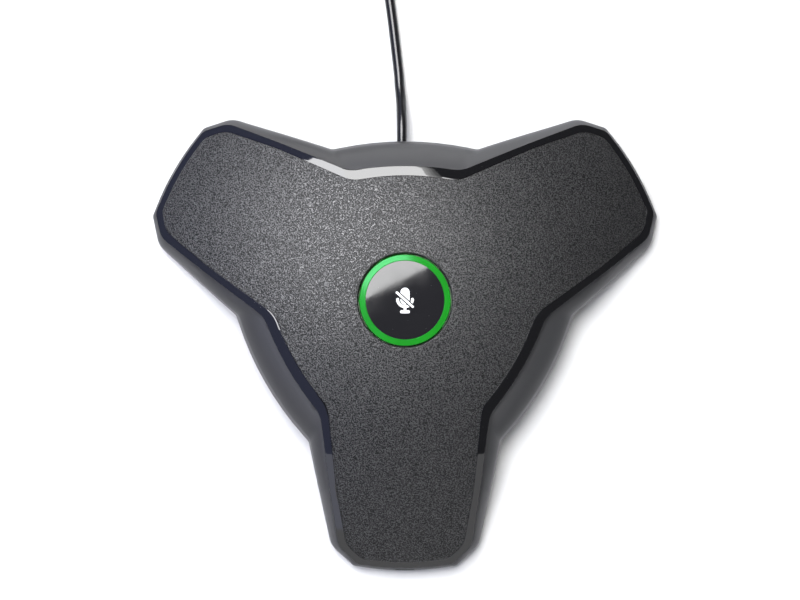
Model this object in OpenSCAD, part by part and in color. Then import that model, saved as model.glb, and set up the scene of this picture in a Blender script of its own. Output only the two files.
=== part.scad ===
// Three-armed table microphone pod with a mute button and a coiled lead.
// The origin is on the hub axis at table level, +Z is up and the front arm points along -Y.

/* [Housing] */
// Height of the dome's crown above the table
crown_z = 24; // [23:0.5:26]
// Radius of the sphere that the top surface lies on
dome_r = 200; // [190:5:240]
// Thickness of the top cover
cover_t = 2; // [1.6:0.1:2.2]
// Depth of the bezel's visible rim
bezel_t = 1.6; // [1.2:0.1:1.8]
// Height of the bottom plate's underside above the table
plate_z = 1.2; // [1:0.1:1.5]
// Thickness of the bottom plate
plate_t = 2; // [1.6:0.1:2.2]
// Height at which the bevelled skirt meets the upright wall, at the ends of the arms
flare_z = 3.8; // [3.4:0.1:4.4]
// The same height between the arms
hub_flare_z = 10; // [9:0.1:10.6]
// Gap between moulded parts that meet at the surface
seam = 0.15; // [0.1:0.05:0.2]

/* [Mute button] */
// Radius of the hole in the cover
hole_r = 13.75; // [13.6:0.05:14]
// Outer radius of the light ring
ring_r = 13.35; // [13:0.05:13.4]
// Radius of the glossy cap
cap_r = 11.55; // [11:0.05:11.6]
// Travel of the button
button_travel = 0.6; // [0.3:0.1:0.6]
// Radius of the carrier's guide pins
pin_r = 1; // [0.8:0.1:1.1]
// Radial clearance of sliding fits
running_gap = 0.06; // [0.04:0.01:0.1]

/* [Lead] */
// Diameter of the lead
cord_d = 3; // [2.8:0.1:3.2]
// Height of the lead's exit above the table
exit_z = 6; // [5.8:0.1:6.4]
// Radius at the middle of the coil's turns
coil_mid_r = 16.5; // [15:0.5:17]
// Number of turns side by side in a layer of the coil
coil_columns = 4; // [3:1:5]
// Height of the coil
coil_h = 11.5; // [9:0.5:13]

/* [Hidden] */

$fn = 64;
hair = 0.05;
over = 1;

// Directions of the arms and of the hollows between them
front = -90;
right = 30;
left = 150;
arms = [front, right, left];

// Outlines of one half of an arm, from the tip to the root: [along, across, blend radius]
base_half = [[79.0, 15.4, 2.5], [72.9, 22.2, 7], [56.8, 25.6, 60], [41.7, 28.7, 3]];
rim_half = [[78.3, 14.3, 4], [72.9, 19.9, 7], [56, 22.3, 60], [33.7, 25, 9]];
cover_half = [[76.7, 12.6, 5], [72.4, 17.5, 7], [56, 20.3, 60], [31.4, 22.7, 9]];
// Middle of an arm's end and middle of a hollow: [radius, blend radius]
base_ends = [[81.3, 80], [50.2, 95]];
rim_ends = [[80.3, 85], [40.7, 95]];
cover_ends = [[78.1, 70], [37.7, 72]];
corner_steps = 5;

// Degrees of arc over which the skirt's outer face bows inwards
skirt_bow = 8;
// Radii between which the skirt's lower edge drops from hub_flare_z to flare_z
hub_flare_r = 51;
arm_flare_r = 76;

// Heights of the inner parts
plate_top = plate_z + plate_t;
board_z = 9;
board_t = 1.6;
board_top = board_z + board_t;
boss_foot_z = plate_top + 1.8;

// Rubber feet, let into the bottom plate
foot_recess = 0.3;
foot_u = 66;
foot_r = 5;
foot_ring_out = 23;
foot_ring_in = 17;

// Places of the fasteners
arm_boss_u = 56;
hub_boss_r = 31;
hub_boss_turn = 45;
standoff_u = 29.5;
case_screw_spots = [
    for (a = arms) polar(arm_boss_u, a),
    for (a = arms) polar(hub_boss_r, a + hub_boss_turn)
];
standoff_spots = [for (a = arms) polar(standoff_u, a)];
clamp_y = 36;
clamp_spread = 5.5;
clamp_top = 8.4;
case_screw_r = 1.1;
case_screw_seat = plate_z + 1.75;
case_screw_end = 12;
small_screw_r = 0.9;
board_screw_end = 5;
clamp_screw_end = 4;
screw_slack = 0.05;

// Button stack
cap_top = crown_z;
cap_crown_r = 300;
icon_depth = 0.5;
ring_foot_z = 20.5;
ledge_z = 21.9;
carrier_z = 18.6;
carrier_tab_top = 19.7;
collar_z = 20;
guide_pin_at = 8.5;
guide_angles = [90, 210, 330];
spring_foot_z = 15;
plunger_top = 15.1;
plunger_foot_z = 13.3;
plunger_r = 1.65;
switch_top = 14.05;

// Microphone set, measured along an arm
capsule_u = 62.5;
capsule_l = 2.7;
capsule_r = 2.95;
capsule_z = 6.8;
port_z = 4.5;
port_w = 6;
port_h = 1.2;
snout_end_u = 77.1;

// Lead
cord_r = cord_d / 2;
cord_x = -0.9;
wall_y = 47.9;
flange_r = 3.4;
flange_y = 46.2;
flange_t = 1;
clamp_spots = [for (side = [-1, 1]) [cord_x + side * clamp_spread, clamp_y]];
sides = 8;
coil_at = [-30, 120];
coil_half_w = coil_columns * cord_d / 2;
tie_angle = 250;
tie_w = 8;
tie_t = 0.5;
inner_route = [
    [-0.9, 47.9, 6], [-0.9, 44, 6], [-0.9, 39, 6], [-0.9, 33.6, 6], [-0.9, 31.8, 6.5],
    [-0.9, 30.5, 7.7], [-0.9, 29.9, 9.4], [-0.9, 29.3, 11.1], [-0.9, 28, 12.3],
    [-0.9, 26.2, 12.8], [-0.9, 25.3, 12.8]
];
cord_route = [
    [-0.9, 47.9, 6], [-0.9, 51, 6], [-0.9, 54, 5.7], [-1, 57, 4.9], [-1.1, 60, 3.7],
    [-1.3, 63, 2.6], [-1.6, 66, 1.9], [-1.8, 69, 1.6], [-2.1, 72, 1.5], [-2.8, 78, 1.5],
    [-3.5, 84, 1.5], [-4.3, 90, 1.5], [-5.1, 96, 1.5], [-5.9, 102, 1.5], [-6.7, 108, 1.5],
    [-7.2, 111.6, 1.5]
];
tail_route = [
    [-41.4, 141.4, 9.7], [-44.9, 140.5, 8.9], [-48.5, 139.1, 7.8], [-51.9, 137.1, 6.6],
    [-54.9, 134.4, 5.4], [-57.4, 131.1, 4.4], [-59.1, 127.8, 3.7], [-60, 124.8, 3.4],
    [-60.3, 122, 3.3]
];
mic_route = [
    [24.2, 5, 12], [28, 5.4, 12], [32, 6, 10.6], [38, 6.4, 8], [44, 6.4, 6.2],
    [50, 6.4, 5.4], [55, 6.2, 5.4], [58.5, 4.8, 5.8], [60.5, 3, 6.4], [61.4, 1.6, 6.8]
];
mic_lead_r = 0.6;

// Modular plug, lying along Y beside the coil with its nose to -Y
plug_x = -60.3;
plug_nose_y = 98;
plug_l = 14;
plug_w = 9.65;
plug_h = 6.6;
boot_l = 10;
latch_hinge_y = 99.2;
latch_hinge_z = plug_h + 0.3;
latch_l = 13;
latch_rise = 14;
contact_pitch = 1.02;
contact_count = 6;

// Plan geometry
function polar(r, a) = [r * cos(a), r * sin(a)];
function unit(v) = v / norm(v);
function mix(a, b, t) = a + (b - a) * t;
function turned(p, a) = [p.x * cos(a) - p.y * sin(a), p.x * sin(a) + p.y * cos(a)];
function flat(p) = [p.x, p.y];
function place(c, side, a) = concat(turned([c.x, side * c.y], a), c.z);

// All corners of a three-armed outline, counter-clockwise: [x, y, blend radius]
function star(half, ends) = [
    for (a = arms) each concat(
        [concat(polar(ends[1][0], a - 60), ends[1][1])],
        [for (i = [len(half) - 1:-1:0]) place(half[i], -1, a)],
        [concat(polar(ends[0][0], a), ends[0][1])],
        [for (c = half) place(c, 1, a)]
    )
];

// The same outline moved inwards by d
function inset(ring, d) = [
    for (i = [0:len(ring) - 1])
        let (
            a = flat(ring[(i + len(ring) - 1) % len(ring)]),
            b = flat(ring[i]),
            c = flat(ring[(i + 1) % len(ring)]),
            e1 = unit(b - a),
            e2 = unit(c - b),
            n1 = [-e1.y, e1.x],
            n2 = [-e2.y, e2.x],
            bend = sign(cross(e1, e2))
        )
        concat(b + d * (n1 + n2) / (1 + n1 * n2), max(ring[i].z - bend * d, 0.4))
];

// Points of the arc that replaces corner b
function blend(a, b, c, r) =
    let (
        e1 = unit(a - b),
        e2 = unit(c - b),
        half_angle = acos(e1 * e2) / 2,
        centre = b + unit(e1 + e2) * r / sin(half_angle),
        start = b + e1 * r / tan(half_angle) - centre,
        end = b + e2 * r / tan(half_angle) - centre,
        sweep_angle = 180 - 2 * half_angle
    )
    [
        for (k = [0:corner_steps])
            let (s = k / corner_steps * sweep_angle)
            centre + (sin(sweep_angle - s) * start + sin(s) * end) / sin(sweep_angle)
    ];

function outline(ring) = [
    for (i = [0:len(ring) - 1]) each blend(
        flat(ring[(i + len(ring) - 1) % len(ring)]),
        flat(ring[i]),
        flat(ring[(i + 1) % len(ring)]),
        ring[i].z
    )
];

base_ring = star(base_half, base_ends);
rim_ring = star(rim_half, rim_ends);
cover_ring = star(cover_half, cover_ends);

// Height of the surface that lies a given depth below the dome
function dome_z(p, depth) = crown_z - dome_r + sqrt(pow(dome_r - depth, 2) - p.x * p.x - p.y * p.y);

function level(points, z) = [for (p = points) [p.x, p.y, z]];
function under_dome(points, depth) = [for (p = points) [p.x, p.y, dome_z(p, depth)]];

// Height of the skirt's lower edge at a point of the base outline
function flare(p) =
    let (t = min(1, max(0, (norm(p) - hub_flare_r) / (arm_flare_r - hub_flare_r))))
    mix(hub_flare_z, flare_z, t * t * (3 - 2 * t));

// A ring of the skirt's outer face, from the lower edge at 0 to the rim at 1
function skirt_ring(t) =
    let (
        low = outline(base_ring),
        high = outline(rim_ring),
        inwards = (1 - cos(skirt_bow * t)) / (1 - cos(skirt_bow)),
        upwards = sin(skirt_bow * t) / sin(skirt_bow)
    )
    [
        for (i = [0:len(low) - 1])
            let (p = mix(low[i], high[i], inwards))
            [p.x, p.y, mix(flare(low[i]), dome_z(high[i], bezel_t + hair), upwards)]
    ];

// Solid wall whose cross-section is given by closed rings of equal length
module wall_of_rings(rings) {
    n = len(rings[0]);
    m = len(rings);
    polyhedron(
        points = [for (ring = rings) each ring],
        faces = [
            for (j = [0:m - 1], i = [0:n - 1])
                let (
                    a = j * n + i,
                    b = j * n + (i + 1) % n,
                    c = (j + 1) % m * n + (i + 1) % n,
                    d = (j + 1) % m * n + i
                )
                each [[a, d, c], [a, c, b]]
        ]
    );
}

// Round tube along a route
module tube(route, r) {
    last = len(route) - 1;
    points = [
        for (i = [0:last])
            let (
                ahead = unit(route[min(i + 1, last)] - route[max(i - 1, 0)]),
                side = unit(cross(ahead, [0, 0, 1])),
                up = cross(side, ahead)
            )
            for (k = [0:sides - 1])
                route[i] + r * (cos(360 * k / sides) * side + sin(360 * k / sides) * up)
    ];
    walls = [
        for (i = [0:last - 1], k = [0:sides - 1])
            let (next = (k + 1) % sides)
            each [
                [i * sides + k, i * sides + next, (i + 1) * sides + next],
                [i * sides + k, (i + 1) * sides + next, (i + 1) * sides + k]
            ]
    ];
    polyhedron(
        points = points,
        faces = concat(
            walls,
            [[for (k = [sides - 1:-1:0]) k]],
            [[for (k = [0:sides - 1]) last * sides + k]]
        )
    );
}

// Column with the given outline, tall enough to pass through the dome
module column(ring) {
    linear_extrude(2 * crown_z) polygon(outline(ring));
}

// The part of a column between two depths below the dome
module dome_layer(depth_top, depth_bottom) {
    intersection() {
        children();
        difference() {
            translate([0, 0, crown_z - dome_r]) sphere(dome_r - depth_top, $fn = 200);
            translate([0, 0, crown_z - dome_r]) sphere(dome_r - depth_bottom, $fn = 200);
        }
    }
}

module on_arm(a) {
    rotate([0, 0, a]) children();
}

module post(spot, r, z0, z1) {
    translate([spot.x, spot.y, z0]) cylinder(r = r, h = z1 - z0);
}

// Box given by its lowest and highest corners
module block(low, high) {
    translate(low) cube(high - low);
}

// ---- Housing ----

module base_shell() {
    rabbet = 1.8;
    ledge = 3;
    rim_step = 3.6;
    rim_wall = 1;
    slot_reach = 8;
    exit_bore_r = 2.6;
    rim_inner = outline(inset(rim_ring, rim_wall));
    ledge_inner = outline(inset(rim_ring, 2.2));
    base_inner = outline(inset(base_ring, ledge));
    knee_drop = 2.2;
    color([0.43, 0.43, 0.45]) difference() {
        wall_of_rings(concat(
            [
                level(outline(inset(base_ring, rabbet)), plate_z),
                level(outline(inset(base_ring, 0.6)), plate_z),
                level(outline(inset(base_ring, 0.15)), plate_z + 0.9)
            ],
            [for (t = [0:0.2:1]) skirt_ring(t)],
            [
                under_dome(rim_inner, bezel_t + hair),
                under_dome(rim_inner, rim_step),
                [for (i = [0:len(rim_inner) - 1])
                    [ledge_inner[i].x, ledge_inner[i].y, dome_z(rim_inner[i], rim_step)]],
                [for (p = base_inner) [p.x, p.y, max(plate_top + 0.1, flare(p) - knee_drop)]],
                level(base_inner, plate_top),
                level(outline(inset(base_ring, rabbet)), plate_top)
            ]
        ));
        for (a = arms) on_arm(a)
            block(
                [snout_end_u - over, -port_w / 2, port_z - port_h / 2],
                [snout_end_u + slot_reach, port_w / 2, port_z + port_h / 2]
            );
        translate([cord_x, wall_y - slot_reach, exit_z]) rotate([-90, 0, 0])
            cylinder(r = exit_bore_r, h = 2 * slot_reach);
        translate([cord_x, flange_y - slot_reach, exit_z]) rotate([-90, 0, 0])
            cylinder(r = flange_r + 0.1, h = slot_reach + hair);
    }
}

module bottom_plate() {
    pad_gap = 0.1;
    edge_lap = 2;
    boss_r = 3.3;
    standoff_r = 2.6;
    clamp_post_r = 2.2;
    saddle = 2;
    sink_r = 2.6;
    color([0.16, 0.16, 0.17]) difference() {
        union() {
            translate([0, 0, plate_z]) linear_extrude(plate_t)
                polygon(outline(inset(base_ring, edge_lap)));
            for (s = case_screw_spots) post(s, boss_r, plate_z + over, boss_foot_z);
            for (s = standoff_spots) post(s, standoff_r, plate_z + over, board_z);
            for (s = clamp_spots) post(s, clamp_post_r, plate_z + over, exit_z);
            block(
                [cord_x - saddle, clamp_y - saddle, plate_z + over],
                [cord_x + saddle, clamp_y + saddle, exit_z - cord_r]
            );
        }
        for (s = case_screw_spots) {
            post(s, sink_r, plate_z - over, case_screw_seat + screw_slack);
            post(s, case_screw_r + 0.2, plate_z, boss_foot_z + over);
        }
        for (s = standoff_spots)
            post(s, small_screw_r + screw_slack, board_screw_end - 1, board_z + over);
        for (s = clamp_spots)
            post(s, small_screw_r + screw_slack, clamp_screw_end - 0.4, exit_z + over);
        for (a = arms) post(polar(foot_u, a), foot_r + pad_gap, plate_z - over, plate_z + foot_recess);
        difference() {
            post([0, 0], foot_ring_out + pad_gap, plate_z - over, plate_z + foot_recess);
            post([0, 0], foot_ring_in - pad_gap, plate_z - 2 * over, plate_z + 2 * over);
        }
    }
}

module rounded_pad(r) {
    edge = 0.35;
    rotate_extrude() polygon([
        [0, 0], [r - edge, 0], [r, edge], [r, plate_z + foot_recess], [0, plate_z + foot_recess]
    ]);
}

module foot(a) {
    color([0.07, 0.07, 0.07]) translate(polar(foot_u, a)) rounded_pad(foot_r);
}

module foot_ring() {
    color([0.07, 0.07, 0.07]) difference() {
        rounded_pad(foot_ring_out);
        post([0, 0], foot_ring_in, -over, 2 * over + plate_z);
    }
}

module bezel() {
    rim_gap = 1.2;
    lap = 1.5;
    lip_top = cover_t + 0.1;
    lip_bottom = cover_t + 1.3;
    color([0.03, 0.03, 0.035]) union() {
        dome_layer(0, bezel_t) difference() {
            column(rim_ring);
            column(cover_ring);
        }
        dome_layer(bezel_t - over / 2, lip_bottom) difference() {
            column(inset(rim_ring, rim_gap));
            column(cover_ring);
        }
        dome_layer(lip_top, lip_bottom) difference() {
            column(inset(rim_ring, rim_gap));
            column(inset(cover_ring, lap));
            for (a = arms) on_arm(a)
                block([arm_boss_u, -port_w, 0], [snout_end_u + over, port_w, crown_z]);
        }
    }
}

module top_cover() {
    collar_out = 15.2;
    bevel = 0.3;
    boss_r = 2.8;
    color([0.2, 0.2, 0.205]) difference() {
        union() {
            dome_layer(0, cover_t) column(inset(cover_ring, seam));
            intersection() {
                union() {
                    for (s = case_screw_spots) post(s, boss_r, boss_foot_z + hair, crown_z);
                    post([0, 0], collar_out, collar_z, crown_z);
                }
                translate([0, 0, crown_z - dome_r]) sphere(dome_r - cover_t / 2, $fn = 200);
            }
        }
        post([0, 0], hole_r, 0, 2 * crown_z);
        translate([0, 0, dome_z([hole_r, 0], bevel)])
            cylinder(r1 = hole_r, r2 = hole_r + 2 * bevel, h = 2 * bevel);
        for (s = case_screw_spots) post(s, case_screw_r + screw_slack, 0, case_screw_end + 0.5);
    }
}

module ballast_plate() {
    plate_r = 24;
    scallop_r = 6;
    color([0.6, 0.6, 0.62]) difference() {
        post([0, 0], plate_r, plate_top + hair, plate_top + 2.5);
        for (s = standoff_spots) post(s, scallop_r, 0, crown_z);
    }
}

module case_screws() {
    head_r = 2.3;
    head_h = 1.3;
    recess_r = 0.9;
    recess_h = 0.8;
    low = case_screw_seat - head_h;
    color([0.7, 0.7, 0.72]) for (s = case_screw_spots) difference() {
        union() {
            post(s, head_r, low, case_screw_seat);
            post(s, case_screw_r, case_screw_seat - hair, case_screw_end);
        }
        translate([s.x, s.y, low - over]) cylinder(r = recess_r, h = over + recess_h, $fn = 6);
    }
}

// ---- Mute button ----

module round_bar(length, width) {
    reach = (length - width) / 2;
    square([2 * reach, width], center = true);
    for (side = [-1, 1]) translate([side * reach, 0]) circle(width / 2);
}

// Crossed-out microphone, seen from above
module icon_shape() {
    stroke = 0.8;
    cradle_r = 2.56;
    cradle_y = 0.2;
    foot_y = -3.45;
    foot_t = 0.9;
    slash_at = [-0.07, 0.12];
    slash_turn = -42;
    slash_l = 6.9;
    slash_t = 0.66;
    clearance = 0.34;
    difference() {
        union() {
            translate([0, 1.1]) rotate(90) round_bar(5, 2.64);
            difference() {
                translate([0, cradle_y]) circle(cradle_r);
                translate([0, cradle_y]) circle(cradle_r - stroke);
                translate([-4, cradle_y]) square([8, 4]);
            }
            for (side = [-1, 1])
                translate([side * (cradle_r - stroke / 2), cradle_y]) circle(stroke / 2);
            translate([-stroke / 2, foot_y]) square([stroke, cradle_y - cradle_r + stroke / 2 - foot_y]);
            translate([0, foot_y]) round_bar(2.86, foot_t);
        }
        translate(slash_at) rotate(slash_turn)
            round_bar(slash_l + 2 * clearance, slash_t + 2 * clearance);
    }
    translate(slash_at) rotate(slash_turn) round_bar(slash_l, slash_t);
}

module icon_column(z0) {
    translate([0, 0, z0]) linear_extrude(over + crown_z - z0) icon_shape();
}

function crown_height(r) = cap_top - cap_crown_r + sqrt(cap_crown_r * cap_crown_r - r * r);

// Everything below the cap's slightly crowned face
module below_crown() {
    reach = cap_r + over;
    steps = 8;
    intersection() {
        children();
        rotate_extrude() polygon(concat(
            [[0, 0], [reach, 0]],
            [for (i = [steps:-1:0]) [reach * i / steps, crown_height(reach * i / steps)]]
        ));
    }
}

module button_cap() {
    color([0.04, 0.04, 0.045]) difference() {
        below_crown() post([0, 0], cap_r, ledge_z + hair, crown_z + over);
        icon_column(cap_top - icon_depth);
    }
}

module mute_icon() {
    color([0.92, 0.92, 0.92]) below_crown() icon_column(cap_top - icon_depth);
}

module light_ring() {
    inner = cap_r + hair;
    ledge_r = 10.2;
    top = cap_top - 0.2;
    edge = 0.3;
    color([0.14, 0.65, 0.15]) rotate_extrude() polygon([
        [ledge_r, ring_foot_z], [ring_r, ring_foot_z], [ring_r, top - edge],
        [ring_r - edge, top], [inner + edge / 2, top], [inner, top - edge / 2],
        [inner, ledge_z], [ledge_r, ledge_z]
    ]);
}

module button_carrier() {
    tab_w = 6;
    tab_r = 14.5;
    shoulder_r = 11.2;
    hub_r = 10.1;
    nub_r = 1.5;
    pin_end_z = 12.3;
    color([0.12, 0.12, 0.12]) union() {
        post([0, 0], shoulder_r, carrier_z, ring_foot_z - hair);
        post([0, 0], hub_r, carrier_z, ledge_z);
        for (a = arms) on_arm(a) intersection() {
            block([0, -tab_w / 2, carrier_z], [tab_r + over, tab_w / 2, carrier_tab_top]);
            post([0, 0], tab_r, carrier_z, carrier_tab_top);
        }
        for (a = guide_angles) post(polar(guide_pin_at, a), pin_r, pin_end_z, carrier_z + over);
        post([0, 0], nub_r, plunger_top + hair, carrier_z + over);
    }
}

module button_guide() {
    wall_out = 14.8;
    wall_in = 13.6;
    wall_top = carrier_z - button_travel - 0.4;
    barrel_r = 2.3;
    rib = 1;
    rib_h = 2.4;
    color([0.9, 0.9, 0.88]) difference() {
        union() {
            difference() {
                post([0, 0], wall_out, board_top + hair, wall_top);
                post([0, 0], wall_in, board_top - over, wall_top + over);
            }
            for (a = guide_angles) {
                post(polar(guide_pin_at, a), barrel_r, board_top + hair, spring_foot_z);
                on_arm(a) block(
                    [guide_pin_at, -rib, board_top + hair],
                    [wall_in + 0.5, rib, board_top + rib_h]
                );
            }
        }
        for (a = guide_angles)
            post(polar(guide_pin_at, a), pin_r + running_gap, board_top + 0.6, spring_foot_z + over);
    }
}

module return_spring(a) {
    coil_out = 1.9;
    coil_in = 1.2;
    spot = polar(guide_pin_at, a);
    color([0.75, 0.75, 0.77]) difference() {
        post(spot, coil_out, spring_foot_z, carrier_z - hair);
        post(spot, coil_in, spring_foot_z - over, carrier_z + over);
    }
}

module switch_body() {
    half = 3;
    bore_floor = plunger_foot_z - button_travel - 0.1;
    color([0.1, 0.1, 0.1]) difference() {
        block([-half, -half, board_top + hair], [half, half, switch_top]);
        post([0, 0], plunger_r + running_gap, bore_floor, switch_top + over);
    }
    color([0.8, 0.8, 0.8]) for (x = [-1, 1], y = [-1, 1])
        translate([x * (half + 0.55), y * 2.2, board_top + hair + 0.15])
            cube([1.1, 0.7, 0.3], center = true);
}

module switch_plunger() {
    color([0.75, 0.2, 0.15]) post([0, 0], plunger_r, plunger_foot_z, plunger_top);
}

module status_leds() {
    color([0.6, 0.9, 0.6]) for (k = [0:5]) on_arm(60 * k)
        translate([12.2, 0, board_top + hair + 0.35]) cube([1.6, 0.8, 0.7], center = true);
}

// ---- Electronics ----

module main_board() {
    board_r = 25.5;
    ear_r = 4;
    hole = 1.1;
    color([0.05, 0.3, 0.15]) difference() {
        union() {
            post([0, 0], board_r, board_z, board_top);
            for (a = arms) on_arm(a) {
                block([board_r - 2 * ear_r, -ear_r, board_z], [standoff_u, ear_r, board_top]);
                post([standoff_u, 0], ear_r, board_z, board_top);
            }
        }
        for (s = standoff_spots) post(s, hole, board_z - over, board_top + over);
    }
}

module board_screws() {
    color([0.7, 0.7, 0.72]) for (s = standoff_spots) {
        post(s, 2 * small_screw_r, board_top, board_top + 1.2);
        post(s, small_screw_r, board_screw_end, board_top + hair);
    }
}

module audio_chip() {
    color([0.08, 0.08, 0.08]) block([7, -12, board_z - 1], [14, -5, board_z - hair]);
}

module shield_can() {
    color([0.75, 0.75, 0.76]) block([-16, -11, board_z - 2], [-4, -1, board_z - hair]);
}

module cable_header() {
    color([0.9, 0.88, 0.8]) block([cord_x - 5, 15.6, board_top + hair], [cord_x + 5, 20, 15]);
}

module cable_plug() {
    color([0.92, 0.92, 0.9]) block([cord_x - 4.5, 20 + hair, 11], [cord_x + 4.5, 25.2, 14.6]);
}

// ---- Microphones, one set in each arm ----

module mic_capsule(a) {
    color([0.72, 0.72, 0.74]) on_arm(a) translate([capsule_u, 0, capsule_z]) rotate([0, 90, 0])
        cylinder(r = capsule_r, h = capsule_l);
}

module mic_boot(a) {
    back = 61.5;
    face = 66.5;
    floor_z = plate_top + 0.1;
    color([0.1, 0.1, 0.1]) on_arm(a) difference() {
        union() {
            block([back, -4.5, floor_z], [face, 4.5, 10.2]);
            block([face - over, -3.5, floor_z + 0.1], [snout_end_u, 3.5, 5.7]);
        }
        translate([back - over, 0, capsule_z]) rotate([0, 90, 0])
            cylinder(r = capsule_r + hair, h = capsule_u + capsule_l - back + over);
        block(
            [capsule_u + capsule_l - hair, -2.2, port_z - port_h / 2],
            [snout_end_u + over, 2.2, port_z + port_h / 2]
        );
    }
}

module mic_mesh(a) {
    color([0.25, 0.25, 0.26]) on_arm(a) block(
        [78.6, hair - port_w / 2, hair + port_z - port_h / 2],
        [78.9, port_w / 2 - hair, port_z + port_h / 2 - hair]
    );
}

module mic_lead(a) {
    color([0.5, 0.05, 0.05]) on_arm(a) tube(mic_route, mic_lead_r);
}

module mic_header(a) {
    color([0.92, 0.9, 0.85]) on_arm(a) block([20.5, 3, board_top + hair], [24.1, 7, 13.4]);
}

// ---- Lead ----

module cord_grommet() {
    neck_y = 42;
    neck_r = 1.9;
    barrel_r = 2.5;
    color([0.06, 0.06, 0.06]) difference() {
        translate([cord_x, 0, exit_z]) rotate([-90, 0, 0]) difference() {
            rotate_extrude() polygon([
                [0, neck_y], [neck_r, neck_y], [barrel_r - 0.2, flange_y - flange_t],
                [flange_r, flange_y - flange_t], [flange_r, flange_y], [barrel_r, flange_y],
                [barrel_r, wall_y - 0.7], [barrel_r - 0.3, wall_y], [0, wall_y]
            ]);
            translate([0, 0, neck_y - over])
                cylinder(r = cord_r + hair, h = wall_y - neck_y + 2 * over);
        }
        block([cord_x - 5, neck_y - over, 0], [cord_x + 5, flange_y + over, plate_top + 0.1]);
    }
}

module cable_clamp() {
    half_w = 7.6;
    half_d = 2.2;
    reach = half_d + over;
    color([0.14, 0.14, 0.14]) difference() {
        block(
            [cord_x - half_w, clamp_y - half_d, exit_z + hair],
            [cord_x + half_w, clamp_y + half_d, clamp_top]
        );
        translate([cord_x, clamp_y - reach, exit_z]) rotate([-90, 0, 0])
            cylinder(r = cord_r + hair, h = 2 * reach);
        for (s = clamp_spots) post(s, small_screw_r + 0.15, exit_z - over, clamp_top + over);
    }
}

module clamp_screws() {
    head_r = 1.7;
    head_h = 1.1;
    color([0.7, 0.7, 0.72]) for (s = clamp_spots) {
        post(s, head_r, clamp_top, clamp_top + head_h);
        post(s, small_screw_r, clamp_screw_end, clamp_top + hair);
    }
}

module inner_cord() {
    color([0.05, 0.05, 0.05]) tube(inner_route, cord_r);
}

module cord() {
    color([0.05, 0.05, 0.05]) tube(cord_route, cord_r);
}

module cord_tail() {
    color([0.05, 0.05, 0.05]) tube(tail_route, cord_r);
}

// Closed band round the coil's cross-section
module tie_band(grow) {
    reach = coil_half_w + tie_t + grow;
    translate([coil_mid_r, 0, 0]) difference() {
        block(
            [-reach, -tie_w / 2 - grow, -over * sign(grow)],
            [reach, tie_w / 2 + grow, coil_h + tie_t + grow]
        );
        block(
            [grow - coil_half_w, -tie_w, tie_t + grow],
            [coil_half_w - grow, tie_w, coil_h - grow]
        );
    }
}

module cord_coil() {
    color([0.05, 0.05, 0.05]) translate(coil_at) difference() {
        rotate_extrude() translate([coil_mid_r - coil_half_w, 0]) square([2 * coil_half_w, coil_h]);
        rotate([0, 0, tie_angle]) tie_band(hair);
    }
}

module coil_tie() {
    color([0.02, 0.02, 0.02]) translate(coil_at) rotate([0, 0, tie_angle]) tie_band(0);
}

module plug_boot() {
    foot_y = plug_nose_y + plug_l;
    color([0.05, 0.05, 0.05]) difference() {
        translate([plug_x, foot_y, plug_h / 2]) rotate([-90, 0, 0])
            cylinder(r1 = 3.1, r2 = 2.1, h = boot_l - hair);
        translate([plug_x, foot_y + boot_l - 2, plug_h / 2]) rotate([-90, 0, 0])
            cylinder(r = cord_r, h = 3);
    }
}

module plug_body() {
    slot_w = 0.4;
    color([0.75, 0.77, 0.8, 0.6]) difference() {
        block(
            [plug_x - plug_w / 2, plug_nose_y, 0],
            [plug_x + plug_w / 2, plug_nose_y + plug_l - hair, plug_h]
        );
        for (k = [0:contact_count - 1])
            translate([contact_x(k), 0, 0])
                block([-slot_w / 2, plug_nose_y - over, -over], [slot_w / 2, plug_nose_y + 5, 1.4]);
    }
}

function contact_x(k) = plug_x + (k - (contact_count - 1) / 2) * contact_pitch;

module plug_contacts() {
    color([0.85, 0.65, 0.2]) for (k = [0:contact_count - 1])
        translate([contact_x(k), 0, 0])
            block([-0.15, plug_nose_y + 0.4, 0.15], [0.15, plug_nose_y + 4.8, 1.35]);
}

module plug_latch() {
    lever_w = 6;
    tooth_w = 3.2;
    lever_t = 0.8;
    color([0.75, 0.77, 0.8, 0.6]) translate([plug_x, latch_hinge_y, latch_hinge_z])
        rotate([latch_rise, 0, 0]) {
            block([-tooth_w / 2, 0, 0], [tooth_w / 2, 4, lever_t]);
            block([-lever_w / 2, 4, 0], [lever_w / 2, 6.5, lever_t]);
            block([-tooth_w / 2, 6.5, 0], [tooth_w / 2, latch_l, lever_t]);
        }
}

base_shell();
bottom_plate();
bezel();
top_cover();
ballast_plate();
foot_ring();
foot(front);  // foot_front
foot(right);  // foot_right
foot(left);  // foot_left
case_screws();
button_cap();
mute_icon();
light_ring();
button_carrier();
button_guide();
return_spring(guide_angles[0]);  // return_spring_1
return_spring(guide_angles[1]);  // return_spring_2
return_spring(guide_angles[2]);  // return_spring_3
switch_body();
switch_plunger();
status_leds();
main_board();
board_screws();
audio_chip();
shield_can();
cable_header();
cable_plug();
mic_capsule(front);  // mic_capsule_front
mic_capsule(right);  // mic_capsule_right
mic_capsule(left);  // mic_capsule_left
mic_boot(front);  // mic_boot_front
mic_boot(right);  // mic_boot_right
mic_boot(left);  // mic_boot_left
mic_mesh(front);  // mic_mesh_front
mic_mesh(right);  // mic_mesh_right
mic_mesh(left);  // mic_mesh_left
mic_lead(front);  // mic_lead_front
mic_lead(right);  // mic_lead_right
mic_lead(left);  // mic_lead_left
mic_header(front);  // mic_header_front
mic_header(right);  // mic_header_right
mic_header(left);  // mic_header_left
cord_grommet();
cable_clamp();
clamp_screws();
inner_cord();
cord();
cord_coil();
cord_tail();
coil_tie();
plug_boot();
plug_body();
plug_contacts();
plug_latch();
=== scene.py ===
import math

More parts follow.
